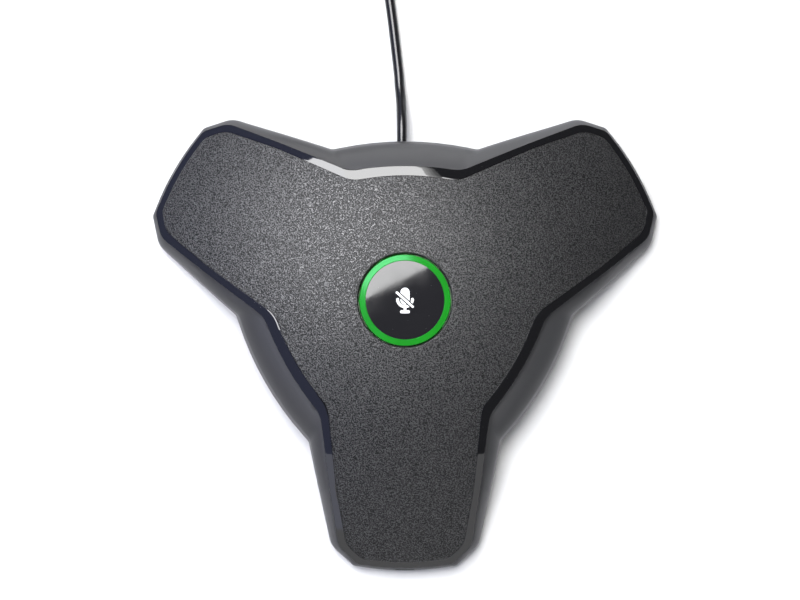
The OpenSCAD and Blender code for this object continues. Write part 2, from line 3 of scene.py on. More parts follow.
import bmesh
import bpy
from mathutils import Matrix, Vector


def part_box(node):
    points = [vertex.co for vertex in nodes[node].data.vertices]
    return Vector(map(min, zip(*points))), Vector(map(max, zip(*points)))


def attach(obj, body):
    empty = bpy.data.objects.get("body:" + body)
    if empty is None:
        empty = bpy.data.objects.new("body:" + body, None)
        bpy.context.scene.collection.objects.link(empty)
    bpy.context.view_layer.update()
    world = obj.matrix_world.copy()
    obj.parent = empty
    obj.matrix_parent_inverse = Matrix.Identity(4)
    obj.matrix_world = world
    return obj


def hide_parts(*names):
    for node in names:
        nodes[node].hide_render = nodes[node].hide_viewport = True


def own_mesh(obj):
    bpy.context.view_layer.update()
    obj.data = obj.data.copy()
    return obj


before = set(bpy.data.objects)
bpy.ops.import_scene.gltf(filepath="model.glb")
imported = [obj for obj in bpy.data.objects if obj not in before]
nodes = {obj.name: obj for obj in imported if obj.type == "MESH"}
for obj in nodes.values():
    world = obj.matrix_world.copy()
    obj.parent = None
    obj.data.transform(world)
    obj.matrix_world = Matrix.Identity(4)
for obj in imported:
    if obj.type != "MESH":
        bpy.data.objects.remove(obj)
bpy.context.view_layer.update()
scene = bpy.context.scene
mm = 0.001

# ---- Studio ----
# A pale table top under one large soft box, behind and to the left, that fades out along its
# right edge. A low rear board brightens the back of the skirt; a dim front board and a faint
# bluish one at the left give the gloss parts something to mirror.

class Wire:
    """One output of a shader node, which takes part in sums as a number does."""

    def __init__(self, finish, socket):
        self.finish = finish
        self.socket = socket

    def math(self, operation, first, second=0.0):
        return self.finish.node("Math", {"operation": operation}, {0: first, 1: second})

    def __add__(self, other):
        return self.math("ADD", self, other)

    def __sub__(self, other):
        return self.math("SUBTRACT", self, other)

    def __rsub__(self, other):
        return self.math("SUBTRACT", other, self)

    def __mul__(self, other):
        return self.math("MULTIPLY", self, other)

    def __gt__(self, other):
        return self.math("GREATER_THAN", self, other)

    __radd__ = __add__
    __rmul__ = __mul__


class Finish:
    """A surface finish: one principled shader and the nodes that feed it."""

    def __init__(self, name, inputs):
        self.material = bpy.data.materials.new(name)
        self.material.use_nodes = True
        self.shader = self.material.node_tree.nodes["Principled BSDF"]
        self.feed(inputs)

    def plug(self, node, inputs):
        for key, value in inputs.items():
            if isinstance(value, Wire):
                self.material.node_tree.links.new(value.socket, node.inputs[key])
            else:
                node.inputs[key].default_value = value

    def feed(self, inputs):
        self.plug(self.shader, inputs)

    def node(self, kind, settings, inputs, output=0):
        made = self.material.node_tree.nodes.new("ShaderNode" + kind)
        for key, value in settings.items():
            if key == "stops":
                ramp = made.color_ramp.elements
                while len(ramp) < len(value):
                    ramp.new(1.0)
                for element, (at, colour) in zip(ramp, value):
                    element.position = at
                    element.color = colour
            else:
                setattr(made, key, value)
        self.plug(made, inputs)
        return Wire(self, made.outputs[output])

    def place(self):
        """Where a point of the piece is, in metres, whatever pose the piece is in."""
        return self.node("TexCoord", {}, {}, "Object")

    def axes(self):
        """The three parts of a point's place, each a value."""
        place = self.place()
        return [self.node("SeparateXYZ", {}, {0: place}, axis) for axis in "XYZ"]

    def noise(self, size, detail=2.0, rough=0.5, at=None):
        """Soft noise from 0 to 1 whose features are about this many metres across."""
        inputs = {"Vector": at or self.place(), "Scale": 1 / size, "Detail": detail, "Roughness": rough}
        return self.node("TexNoise", {}, inputs, "Fac")

    def ramp(self, value, low, high):
        """0 below low, 1 above high."""
        return self.node("MapRange", {}, {"Value": value, "From Min": low, "From Max": high})

    def tint(self, share, first, second):
        """A colour between two others."""
        return self.node("Mix", {"data_type": "RGBA"}, {0: share, 6: first, 7: second}, 2)

    def bump(self, height, distance):
        """Relief whose full height is this many metres."""
        return self.node("Bump", {}, {"Height": height, "Distance": distance}, "Normal")


def grey(value, blue=1.0):
    return (value, value, value * blue, 1.0)


def soft_light(name, at, turn, size, brightness, colour=(1, 1, 1)):
    """A flat rectangle of light that faces down; brightness is that of its face."""
    lamp = bpy.data.lights.new(name, "AREA")
    lamp.shape = "RECTANGLE"
    lamp.size = size[0]
    lamp.size_y = size[1]
    lamp.color = colour
    lamp.energy = brightness * math.pi * size[0] * size[1]
    holder = bpy.data.objects.new(name, lamp)
    holder.location = at
    holder.rotation_euler.z = turn
    scene.collection.objects.link(holder)


box_turn = math.radians(26.6)
box_along = Vector((math.cos(box_turn), math.sin(box_turn), 0))
box_steps = 5
step_w = 0.014
box_drop = 0.001
for step in range(box_steps):
    shift = -0.017 - step_w / 2 * step
    at = Vector((-0.236, 0.472, 1.3 - box_drop * step)) + shift * box_along
    brightness = 9 if step == box_steps - 1 else 1.5
    soft_light(f"soft_box_{step}", at, box_turn, (0.944 - step_w * step, 0.84), brightness)
soft_light("front_board", (0, -1.93, 1.3), 0, (3.2, 2.4), 1.3)
soft_light("rear_board", (0.1, 1.5, 0.32), 0, (3.2, 0.9), 6)
soft_light("left_board", (-1.38, 0.3, 1.1), 0, (2.24, 2.8), 0.7, (0.42, 0.5, 1.0))

world = bpy.data.worlds.new("studio")
scene.world = world
world.use_nodes = True
world.node_tree.nodes["Background"].inputs["Color"].default_value = (0.05, 0.052, 0.058, 1)
scene.view_settings.view_transform = "Standard"

half = 6.0
floor_mesh = bpy.data.meshes.new("table_top")
corners = [(-half, -half, 0), (half, -half, 0), (half, half, 0), (-half, half, 0)]
floor_mesh.from_pydata(corners, [], [(0, 1, 2, 3)])
table_top = bpy.data.objects.new("table_top", floor_mesh)
scene.collection.objects.link(table_top)
laminate = Finish("white_laminate", {"Roughness": 0.6})
cloud = laminate.noise(0.04)
laminate.feed({"Base Color": laminate.tint(cloud, grey(0.66), grey(0.70))})
floor_mesh.materials.append(laminate.material)

# ---- Camera ----
# Nearly overhead, leaning a little towards the front arm.

camera_data = bpy.data.cameras.new("camera")
camera_data.sensor_width = 36
camera_data.lens = 107.5
camera = bpy.data.objects.new("camera", camera_data)
lean = math.radians(2.3)
distance = 0.7
looks_at = Vector((-1.47 * mm, 0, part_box("button_cap")[1].z))
camera.location = looks_at + distance * Vector((0, -math.sin(lean), math.cos(lean)))
camera.rotation_euler = (lean, 0, 0)
scene.collection.objects.link(camera)
scene.camera = camera

# ---- Base shell ----
# The lower case, moulded in dark grey plastic with a fine matte texture: an almost flat bevel
# above a low upright wall. The wall is higher between the arms, and a crease runs down the
# bevel where an arm begins. Slots at the arms' ends let the sound in.

ARMS = [math.radians(a) for a in (-90, 30, 150)]
ARC_STEPS = 8
RUN_STEPS = 6
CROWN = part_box("button_cap")[1].z
DOME_R = 200 * mm


def spot(radius, angle):
    return Vector((radius * math.cos(angle), radius * math.sin(angle)))


def star(half_arm, tip, hollow):
    """Corners of a three-armed outline, anticlockwise: a place and the radius of its round."""
    found = []
    for arm in ARMS:
        turn = Matrix.Rotation(arm, 2)
        found.append((spot(hollow[0] * mm, arm - math.radians(60)), hollow[1] * mm))
        for side, row in ((-1, reversed(half_arm)), (1, half_arm)):
            if side > 0:
                found.append((spot(tip[0] * mm, arm), tip[1] * mm))
            for along, across, r in row:
                found.append((turn @ Vector((along * mm, side * across * mm)), r * mm))
    return found


def inset(ring, depth):
    """The same outline moved inwards."""
    moved = []
    for i, (here, r) in enumerate(ring):
        before = (here - ring[i - 1][0]).normalized()
        after = (ring[(i + 1) % len(ring)][0] - here).normalized()
        n1 = Vector((-before.y, before.x))
        n2 = Vector((-after.y, after.x))
        bend = math.copysign(1, before.cross(after))
        shift = depth * (n1 + n2) / (1 + n1.dot(n2))
        moved.append((here + shift, max(r - bend * depth, 0.4 * mm)))
    return moved


def outline(ring):
    """Points along an outline: an arc at each corner and even steps between the arcs."""
    arcs = []
    for i, (here, r) in enumerate(ring):
        back = (ring[i - 1][0] - here).normalized()
        on = (ring[(i + 1) % len(ring)][0] - here).normalized()
        half_angle = math.acos(back.dot(on)) / 2
        centre = here + (back + on).normalized() * r / math.sin(half_angle)
        start = here + back * r / math.tan(half_angle) - centre
        end = here + on * r / math.tan(half_angle) - centre
        sweep = math.pi - 2 * half_angle
        shares = [k / ARC_STEPS for k in range(ARC_STEPS + 1)]
        arcs.append([
            centre + (math.sin(sweep * (1 - s)) * start + math.sin(sweep * s) * end) / math.sin(sweep)
            for s in shares
        ])
    points = []
    for arc, following in zip(arcs, arcs[1:] + arcs[:1]):
        points += arc
        points += [arc[-1].lerp(following[0], k / RUN_STEPS) for k in range(1, RUN_STEPS)]
    return points


def dome(p, depth=0.0):
    """Height of the surface that lies a given depth below the dome."""
    return CROWN - DOME_R + math.sqrt((DOME_R - depth) ** 2 - p.x**2 - p.y**2)


def level(points, z):
    return [Vector((p.x, p.y, z)) for p in points]


def under_dome(points, depth):
    return [Vector((p.x, p.y, dome(p, depth))) for p in points]


def loft(rings, closed=True):
    """A skin through rings of equal length; closed joins the last ring to the first."""
    n = len(rings[0])
    m = len(rings)
    skin = bmesh.new()
    verts = [skin.verts.new(p) for ring in rings for p in ring]
    for j in range(m if closed else m - 1):
        for i in range(n):
            k = (i + 1) % n
            up = (j + 1) % m * n
            skin.faces.new((verts[j * n + i], verts[j * n + k], verts[up + k], verts[up + i]))
    bmesh.ops.remove_doubles(skin, verts=skin.verts, dist=0.0005 * mm)
    return skin


def piece(name, skin, body, finish, slot, *replaced, sharp=30):
    """Makes the object, rounds its shading, hangs it on its body and hides the CAD parts it stands for."""
    bmesh.ops.recalc_face_normals(skin, faces=skin.faces)
    mesh = bpy.data.meshes.new(name)
    skin.to_mesh(mesh)
    skin.free()
    mesh.shade_smooth()
    mesh.set_sharp_from_angle(angle=math.radians(sharp))
    mesh.materials.append(finish.material)
    made = bpy.data.objects.new(name, mesh)
    scene.collection.objects.link(made)
    made.modifiers.new("flat_faces", "WEIGHTED_NORMAL").keep_sharp = True
    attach(made, body)
    if replaced:
        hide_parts(*replaced)
    return made


def fine_texture(name, colour, size, height, rough, ior=1.49):
    """Moulded plastic with a fine matte texture, in which single grains catch the light."""
    made = Finish(name, {"IOR": ior})
    grain = made.noise(size, 3, 0.6)
    cloud = made.noise(9 * mm, 3)
    pale = [c * 1.25 for c in colour[:3]] + [1]
    made.feed({
        "Base Color": made.tint(cloud * 0.5 + grain * 0.5, colour, pale),
        "Roughness": rough - 0.1 + 0.2 * grain,
        "Normal": made.bump(grain, height),
    })
    return made


def cut(target, cutter):
    """Takes the cutter's shape out of a piece."""
    tool = bpy.data.meshes.new("tool")
    cutter.to_mesh(tool)
    cutter.free()
    holder = bpy.data.objects.new("tool", tool)
    scene.collection.objects.link(holder)
    change = target.modifiers.new("cut", "BOOLEAN")
    change.object = holder
    change.solver = "EXACT"
    bpy.context.view_layer.update()
    mesh = bpy.data.meshes.new_from_object(target.evaluated_get(bpy.context.evaluated_depsgraph_get()))
    target.modifiers.remove(change)
    target.data = mesh
    mesh.set_sharp_from_angle(angle=math.radians(30))
    bpy.data.objects.remove(holder)


def slot_tool(length, height, depth, place):
    """A bar with round ends, along Y, to cut a slot."""
    ends = 8
    r = height / 2
    ring = []
    for side in (1, -1):
        for k in range(ends + 1):
            a = math.pi * (k / ends - 0.5)
            ring.append(Vector((0, side * (length / 2 - r + r * math.cos(a)), side * r * math.sin(a))))
    rings = [[place @ (p + Vector((x, 0, 0))) for p in ring] for x in (0, depth)]
    bar = loft(rings, closed=False)
    bmesh.ops.holes_fill(bar, edges=[e for e in bar.edges if e.is_boundary])
    bmesh.ops.recalc_face_normals(bar, faces=bar.faces)
    return bar


base = star(
    [(79.0, 15.4, 2.5), (72.9, 22.2, 7), (56.8, 25.6, 60), (41.7, 28.7, 3)], (81.3, 80), (50.2, 95)
)
rim = star([(78.3, 14.3, 4), (72.9, 19.9, 7), (56, 22.3, 60), (33.7, 25, 9)], (80.3, 85), (40.7, 95))
plate_top = 3.2 * mm
bezel_t = 1.6 * mm
hair = 0.05 * mm
wall_t = 3 * mm
knee = 0.25 * mm
knee_drop = 2.2 * mm
flare_z = 3.8 * mm
hub_flare_z = 10 * mm
hub_flare_r = 51 * mm
arm_flare_r = 76 * mm


def flare(p):
    """Height of the bevel's lower edge: high between the arms, low at their ends."""
    share = min(1.0, max(0.0, (p.xy.length - hub_flare_r) / (arm_flare_r - hub_flare_r)))
    return hub_flare_z + (flare_z - hub_flare_z) * share * share * (3 - 2 * share)


def skirt_ring(share):
    """A ring of the bevel, from its lower edge at 0 to the rim at 1."""
    bow = math.radians(8)
    inwards = (1 - math.cos(bow * share)) / (1 - math.cos(bow))
    upwards = math.sin(bow * share) / math.sin(bow)
    ring = []
    for low, high in zip(outline(base), outline(rim)):
        p = low.lerp(high, inwards)
        z = flare(low) + (dome(high, bezel_t + hair) - flare(low)) * upwards
        ring.append(Vector((p.x, p.y, z)))
    return ring


def knee_ring(share):
    """A ring of the round edge between the upright wall and the bevel."""
    ring = []
    for corner, above in zip(skirt_ring(0), skirt_ring(0.2)):
        low = corner - Vector((0, 0, knee))
        high = corner + (above - corner).normalized() * knee
        ring.append(low.lerp(corner, share).lerp(corner.lerp(high, share), share))
    return ring


foot = [(1.8, 1.2), (0.8, 1.2), (0.5, 1.25), (0.32, 1.4), (0.22, 1.7), (0.14, 2.1), (0.05, 2.9)]
rim_edge = [(0.03, 1.74), (0.09, 1.67), (0.2, 1.65), (1.0, 1.65), (1.0, 3.6)]
rings = [level(outline(inset(base, d * mm)), z * mm) for d, z in foot]
rings += [knee_ring(k / 4) for k in range(5)]
rings += [skirt_ring(k / 16) for k in range(5, 16)]
rings += [under_dome(outline(inset(rim, d * mm)), t * mm) for d, t in rim_edge]
ledge = outline(inset(rim, 2.2 * mm))
rings.append([Vector((p.x, p.y, q.z)) for p, q in zip(ledge, rings[-1])])
inner_wall = outline(inset(base, wall_t))
rings.append([Vector((p.x, p.y, max(plate_top + 2 * hair, flare(p) - knee_drop))) for p in inner_wall])
rings.append(level(inner_wall, plate_top))
rings.append(level(outline(inset(base, 1.8 * mm)), plate_top))
skirt_matte = fine_texture("skirt_matte", grey(0.03, 1.06), 0.2 * mm, 0.01 * mm, 0.42, 1.6)
base_shell = piece("base_shell_skin", loft(rings), "housing", skirt_matte, "skirt_grey", "base_shell")
slot_w = 6 * mm
slot_h = 1.2 * mm
slot_at = (77.2 * mm, 0, 4.5 * mm)
for arm in ARMS:
    tip = Matrix.Rotation(arm, 4, "Z") @ Matrix.Translation(slot_at)
    cut(base_shell, slot_tool(slot_w, slot_h, 8 * mm, tip))
exit_bore = 5.2 * mm
bore_at = (-0.9 * mm, 42 * mm, 6 * mm)
lead_hole = Matrix.Translation(bore_at) @ Matrix.Rotation(math.pi / 2, 4, "Z")
cut(base_shell, slot_tool(exit_bore, exit_bore - 0.01 * mm, 16 * mm, lead_hole))

# ---- Bezel ----
# A frame of polished black plastic round the cover. It lies flush with the dome, and its
# edges are broken just enough to draw thin pale lines. It laps under the cover.

cover = star([(76.7, 12.6, 5), (72.4, 17.5, 7), (56, 20.3, 60), (31.4, 22.7, 9)], (78.1, 70), (37.7, 72))
cover_t = 2 * mm
ledge_ends_at = 56 * mm


def quarter(r, steps=5):
    """Points of a rounded edge: how far in from the side, and how deep below the top."""
    turns = [math.pi / 2 * k / steps for k in range(steps + 1)]
    return [(r * (1 - math.sin(a)), r * (1 - math.cos(a))) for a in turns]


def between(first, last, steps):
    """The rings between two others."""
    return [[a.lerp(b, k / steps) for a, b in zip(first, last)] for k in range(1, steps)]


def gloss(name, colour, rough, smear, ior):
    """Polished black plastic with the haze of wiping, a low ripple and a little dust."""
    made = Finish(name, {"IOR": ior})
    wiped = made.noise(7 * mm, 5, 0.65)
    dust = made.node("TexVoronoi", {}, {"Vector": made.place(), "Scale": 1 / (1.4 * mm)}, "Distance")
    speck = 1 - made.ramp(dust, 0.02, 0.05)
    made.feed({
        "Base Color": made.tint(speck, colour, grey(0.12)),
        "Roughness": rough + smear * made.ramp(wiped, 0.35, 0.7) + 0.4 * speck,
        "Normal": made.bump(made.noise(6 * mm, 1), 0.004 * mm),
    })
    return made


def bezel_rings():
    outer = [under_dome(outline(inset(rim, d)), t) for d, t in reversed(quarter(0.15 * mm))]
    inner = [under_dome(outline(inset(cover, -d)), t) for d, t in quarter(0.08 * mm)]
    made = [under_dome(outline(rim), bezel_t)] + outer
    for ring in between(outer[-1], inner[0], 6):
        made.append(under_dome(ring, 0))
    made += inner
    step = outline(inset(cover, 1.5 * mm))
    edge = outline(cover)
    lap = [e if e.length > ledge_ends_at else s for e, s in zip(edge, step)]
    made += [under_dome(lap, cover_t + 0.1 * mm), under_dome(lap, cover_t + 1.3 * mm)]
    tongue = outline(inset(rim, 1.2 * mm))
    made += [under_dome(tongue, cover_t + 1.3 * mm), under_dome(tongue, bezel_t)]
    return made


piano_black = gloss("piano_black", grey(0.006, 1.1), 0.015, 0.02, 1.53)
piece("bezel_frame", loft(bezel_rings()), "housing", piano_black, "bezel_gloss", "bezel")

# ---- Top cover ----
# One thin domed moulding of black plastic with a coarse spark-eroded grain. It drops into the
# bezel, a bevelled hole in its middle lets the mute button through, and six bosses below it
# take the case screws.

hole_r = 13.75 * mm
collar_r = 15.2 * mm
collar_low = 20 * mm
seam = 0.03 * mm
boss_low = 5.05 * mm


def circle(r, like):
    """Points of a circle, each in the direction of a point of another ring."""
    return [p.xy.normalized() * r for p in like]


def cover_rings():
    side = outline(inset(cover, seam))
    outer = [under_dome(outline(inset(cover, seam + d)), t) for d, t in quarter(0.1 * mm)]
    bevel = [(13.75, 0.42), (13.77, 0.36), (13.83, 0.28), (13.99, 0.1), (14.09, 0.02), (14.2, 0)]
    made = [level(circle(hole_r, side), collar_low)]
    made += [under_dome(circle(r * mm, side), t * mm) for r, t in bevel]
    for ring in between(made[-1], outer[0], 44):
        made.append(under_dome(ring, 0))
    made += outer
    made.append(under_dome(side, cover_t))
    collar = under_dome(circle(collar_r, side), cover_t)
    for ring in between(made[-1], collar, 10):
        made.append(under_dome(ring, cover_t))
    made += [collar, level(circle(collar_r, side), collar_low)]
    return made


def lathe(profile, steps=128):
    """A turned piece: profile is a closed line of radius and height, in millimetres."""
    angles = [2 * math.pi * k / steps for k in range(steps)]
    rings = [[spot(r * mm, a).to_3d() + Vector((0, 0, z * mm)) for a in angles] for r, z in profile]
    return loft(rings)


def join(target, part, place):
    """Adds a part, moved to its place, to a skin."""
    bmesh.ops.transform(part, matrix=place, verts=part.verts)
    bmesh.ops.recalc_face_normals(part, faces=part.faces)
    shell = bpy.data.meshes.new("shell")
    part.to_mesh(shell)
    part.free()
    target.from_mesh(shell)
    bpy.data.meshes.remove(shell)


def boss(at):
    """A screw boss with a blind hole, from its foot up into the cover."""
    high = dome(at, cover_t) / mm + 0.3
    low = boss_low / mm
    return lathe([(1.15, low + 0.2), (1.35, low), (2.6, low), (2.8, low + 0.2), (2.8, high), (0, high),
                  (0, 12.5), (1.15, 12.5)], 32)


def spark_grain():
    """Coarse grain: low bumps whose paler, metallic colour is a painted highlight, with painted shade in
    the darker pits between them.
    """
    made = Finish("spark_grain", {"IOR": 1.28})
    coarse = made.noise(0.38 * mm, 2, 0.6)
    fine = made.noise(0.25 * mm, 1)
    relief_and_painted_light = made.ramp(coarse, 0.42, 0.64)
    made.feed({
        # The bumps' paler metallic colour is painted highlight and the near-black pits are painted shade.
        "Base Color": made.tint(relief_and_painted_light, grey(0.003, 1.03), grey(0.085, 1.02)),
        "Metallic": relief_and_painted_light,
        "Roughness": 0.31 - 0.03 * relief_and_painted_light,
        "Normal": made.bump(relief_and_painted_light * 0.8 + fine * 0.2, 0.05 * mm),
    })
    return made


cover_skin = loft(cover_rings())
bmesh.ops.recalc_face_normals(cover_skin, faces=cover_skin.faces)
outer_bosses = [spot(56 * mm, arm) for arm in ARMS]
inner_bosses = [spot(31 * mm, arm + math.pi / 4) for arm in ARMS]
boss_spots = outer_bosses + inner_bosses
for at in boss_spots:
    join(cover_skin, boss(at), Matrix.Translation(at.to_3d()))
piece("cover_skin", cover_skin, "housing", spark_grain(), "cover_textured", "top_cover")

# ---- Mute button ----
# A light ring of frosted green plastic that glows from six lamps below, round a polished
# black cap. The crossed-out microphone is a white inlay, a hair proud of the cap. The ring
# and the cap clip to the carrier below them and move with it.

cap_r = 11.55
cap_top = 23.985
crown_r = 300


def cap_height(r):
    return cap_top - crown_r + math.sqrt(crown_r**2 - r**2)


def cap_profile():
    line = [(cap_r * k / 24, cap_height(cap_r * k / 24)) for k in range(25)]
    return line + [(cap_r, 21.95), (0, 21.95)]


def ring_profile():
    """The ring's top slopes outwards a little, so it catches the light on one side."""
    top = CROWN / mm - 0.18
    fall = 0.36
    inner = cap_r + 0.08
    line = [(10.2, 20.5), (13.2, 20.5), (13.35, 20.65)]
    line += [(13.35 - d, top - fall - t) for d, t in reversed(quarter(0.15))]
    line += [(inner + d, top - t) for d, t in quarter(0.12)]
    return line + [(inner, 21.9), (10.2, 21.9)]


def lit_green():
    """Frosted plastic that glows, a little brighter above each of the six lamps."""
    inputs = {"IOR": 1.42, "Emission Strength": 1.0, "Specular Tint": (0.3, 1, 0.55, 1)}
    made = Finish("lit_green", inputs)
    x, y, _ = made.axes()
    angle = made.node("Math", {"operation": "ARCTAN2"}, {0: y, 1: x})
    hot = made.node("Math", {"operation": "COSINE"}, {0: angle * 6}) * 0.5 + 0.5
    frost = made.noise(0.25 * mm, 3)
    made.feed({
        "Base Color": made.tint(frost, (0.008, 0.10, 0.01, 1), (0.012, 0.14, 0.015, 1)),
        "Emission Color": made.tint(hot, (0.003, 0.15, 0.003, 1), (0.004, 0.18, 0.005, 1)),
        "Roughness": 0.13 + 0.05 * frost,
        "Normal": made.bump(frost, 0.004 * mm),
    })
    return made


cap_gloss = gloss("cap_gloss", grey(0.012, 1.12), 0.03, 0.06, 1.46)
piece("button_cap_skin", lathe(cap_profile()), "button", cap_gloss, "cap_gloss", "button_cap")
piece("light_ring_skin", lathe(ring_profile()), "button", lit_green(), "ring_green", "light_ring")


def dress(finish, *names):
    """Gives CAD nodes a finish."""
    for name in names:
        nodes[name].data.materials.clear()
        nodes[name].data.materials.append(finish.material)


dress(fine_texture("white_inlay", grey(0.78), 0.2 * mm, 0.003 * mm, 0.35), "mute_icon")

# ---- Button works ----
# A black nylon carrier slides on three pins in a white acetal guide. Three wound springs push
# it up, and a nub below it presses the red plunger of a sealed tact switch.

pin_circle = 8.5
spring_low = 15
spring_high = 18.55
wire_r = 0.22
dead_turns = 1
live_turns = 3
coil_r = 1.6


def tube(points, radius, sides=10):
    """A round wire along points, closed at its ends."""
    rings = []
    side = Vector((0, 0, 1))
    for i, p in enumerate(points):
        ahead = (points[min(i + 1, len(points) - 1)] - points[max(i - 1, 0)]).normalized()
        side = (side - ahead * side.dot(ahead)).normalized()
        up = ahead.cross(side)
        turns = [2 * math.pi * k / sides for k in range(sides)]
        rings.append([p + radius * (math.cos(a) * side + math.sin(a) * up) for a in turns])
    skin = loft(rings, closed=False)
    bmesh.ops.holes_fill(skin, edges=[e for e in skin.edges if e.is_boundary])
    return skin


def spring_points(centre):
    """A helix with a closed turn at each end."""
    turns = live_turns + 2 * dead_turns
    dead_rise = 2 * wire_r
    low = spring_low + wire_r
    live_rise = (spring_high - spring_low - 2 * wire_r - 2 * dead_rise) / live_turns
    found = []
    for k in range(turns * 24 + 1):
        t = k / 24
        z = low + dead_rise * min(t, 1) + live_rise * min(max(t - 1, 0), live_turns)
        z += dead_rise * max(t - 1 - live_turns, 0)
        found.append(centre + spot(coil_r * mm, 2 * math.pi * t).to_3d() + Vector((0, 0, z * mm)))
    return found


def metal(name, colour, rough, stretch=(1, 1, 1)):
    """Bare or plated metal; stretch draws its grain out along an axis."""
    made = Finish(name, {"Metallic": 1.0})
    along = made.node("VectorMath", {"operation": "MULTIPLY"}, {0: made.place(), 1: stretch})
    grain = made.noise(0.4 * mm, 4, 0.6, along)
    stain = made.noise(5 * mm, 3)
    dull = [c * 0.75 for c in colour[:3]] + [1]
    made.feed({
        "Base Color": made.tint(stain, colour, dull),
        "Roughness": rough - 0.06 + 0.2 * grain,
        "Normal": made.bump(grain, 0.004 * mm),
    })
    return made


spring_wire = metal("spring_wire", grey(0.5), 0.25)
for number, turn in enumerate((90, 210, 330), 1):
    centre = spot(pin_circle * mm, math.radians(turn)).to_3d()
    node = f"return_spring_{number}"
    spring = piece(f"wound_spring_{number}", tube(spring_points(centre), wire_r * mm), "housing",
                   spring_wire, "spring_steel", node, sharp=60)
    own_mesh(spring)

black_nylon = fine_texture("black_nylon", grey(0.02), 0.3 * mm, 0.008 * mm, 0.45)
white_acetal = fine_texture("white_acetal", (0.72, 0.71, 0.66, 1), 0.3 * mm, 0.006 * mm, 0.38)
dress(black_nylon, "button_carrier")
dress(white_acetal, "button_guide")
dress(fine_texture("switch_resin", grey(0.018), 0.15 * mm, 0.006 * mm, 0.5), "switch_body")
dress(fine_texture("plunger_red", (0.42, 0.03, 0.02, 1), 0.2 * mm, 0.004 * mm, 0.35), "switch_plunger")

# ---- Circuit board ----
# A green board on three standoffs with the chip and the tinned shielding can below it, and
# the switch, six green lamps and the cream headers on top.


def solder_mask():
    """Green lacquer over copper tracks that run across one another from zone to zone."""
    made = Finish("solder_mask", {"IOR": 1.5})
    x, y, _ = made.axes()
    wave = 2 * math.pi / (1.1 * mm)
    zone = made.noise(7 * mm, 0) > 0.5
    lanes = [made.node("Math", {"operation": "SINE"}, {0: axis * wave}) > 0.55 for axis in (x, y)]
    track = zone * lanes[0] + (1 - zone) * lanes[1]
    made.feed({
        "Base Color": made.tint(track, (0.006, 0.06, 0.022, 1), (0.02, 0.13, 0.04, 1)),
        "Roughness": 0.24 + 0.1 * made.noise(0.5 * mm, 3),
        "Normal": made.bump(track, 0.03 * mm),
    })
    return made


def lamp_lens():
    """Clear resin over a lit green chip."""
    made = Finish("lamp_lens", {"IOR": 1.5, "Emission Strength": 2.0})
    cloud = made.noise(0.3 * mm, 2)
    made.feed({
        "Base Color": made.tint(cloud, (0.35, 0.7, 0.35, 1), (0.5, 0.85, 0.5, 1)),
        "Emission Color": made.tint(cloud, (0.05, 0.6, 0.08, 1), (0.1, 0.9, 0.15, 1)),
        "Roughness": 0.12 + 0.1 * cloud,
    })
    return made


cream_nylon = fine_texture("cream_nylon", (0.62, 0.56, 0.42, 1), 0.25 * mm, 0.006 * mm, 0.42)
zinc = metal("zinc", (0.56, 0.58, 0.62, 1), 0.3)
dress(solder_mask(), "main_board")
dress(lamp_lens(), "status_leds")
dress(fine_texture("chip_resin", grey(0.016), 0.12 * mm, 0.008 * mm, 0.55), "audio_chip")
dress(metal("tinned_sheet", grey(0.68), 0.26, (1, 9, 1)), "shield_can")
dress(cream_nylon, "cable_header", "cable_plug")
dress(cream_nylon, "mic_header_front", "mic_header_right", "mic_header_left")
dress(zinc, "board_screws")

# ---- Microphones ----
# In each arm a drawn metal capsule sits in a soft rubber boot, whose snout reaches the slot in
# the arm's end. A black perforated strip covers the slot, and a thin red lead runs inside.


def rubber(name, tone):
    """Soft moulded rubber with a dusty bloom."""
    made = Finish(name, {"IOR": 1.5, "Sheen Weight": 0.15, "Sheen Roughness": 0.4})
    bloom = made.noise(2.5 * mm, 4, 0.6)
    pores = made.noise(0.15 * mm, 2)
    made.feed({
        "Base Color": made.tint(bloom, grey(tone), grey(tone * 1.8)),
        "Roughness": 0.62 + 0.2 * bloom,
        "Normal": made.bump(pores, 0.012 * mm),
    })
    return made


def perforated_strip():
    """Blackened metal strip with fine round holes, whose near-black colour is painted shade."""
    made = Finish("perforated_strip", {})
    spots = {"Vector": made.place(), "Scale": 1 / (0.4 * mm), "Randomness": 0.15}
    rim_of_hole = made.ramp(made.node("TexVoronoi", {}, spots, "Distance"), 0.3, 0.42)
    made.feed({
        # The holes are painted near black: painted shade.
        "Base Color": made.tint(rim_of_hole, grey(0.002), grey(0.06)),
        "Roughness": 0.75 - 0.35 * rim_of_hole,
        "Metallic": rim_of_hole * 0.8,
        "Normal": made.bump(rim_of_hole, 0.08 * mm),
    })
    return made


soft_rubber = rubber("soft_rubber", 0.016)
capsule_can = metal("capsule_can", grey(0.66), 0.22)
pierced = perforated_strip()
red_jacket = fine_texture("red_jacket", (0.2, 0.008, 0.008, 1), 0.4 * mm, 0.006 * mm, 0.3)
for arm in ("front", "right", "left"):
    dress(capsule_can, f"mic_capsule_{arm}")
    dress(soft_rubber, f"mic_boot_{arm}")
    dress(pierced, f"mic_mesh_{arm}")
    dress(red_jacket, f"mic_lead_{arm}")

# ---- Underside ----
# A black moulded plate closes the case from below with six zinc-plated screws. A rubber ring
# and three rubber feet are let into it, and a blanked steel ballast plate lies on its inside.

dress(fine_texture("plate_matte", grey(0.014), 0.3 * mm, 0.02 * mm, 0.5), "bottom_plate")
dress(rubber("foot_rubber", 0.02), "foot_ring", "foot_front", "foot_right", "foot_left")
dress(zinc, "case_screws")
dress(metal("rolled_steel", grey(0.42), 0.4, (14, 1, 1)), "ballast_plate")

# ---- Lead ----
# A round black lead of 1.5 m with a smooth shiny jacket. It drops from the skirt to the table
# and runs back; all that is spare is wound into a coil behind the object.

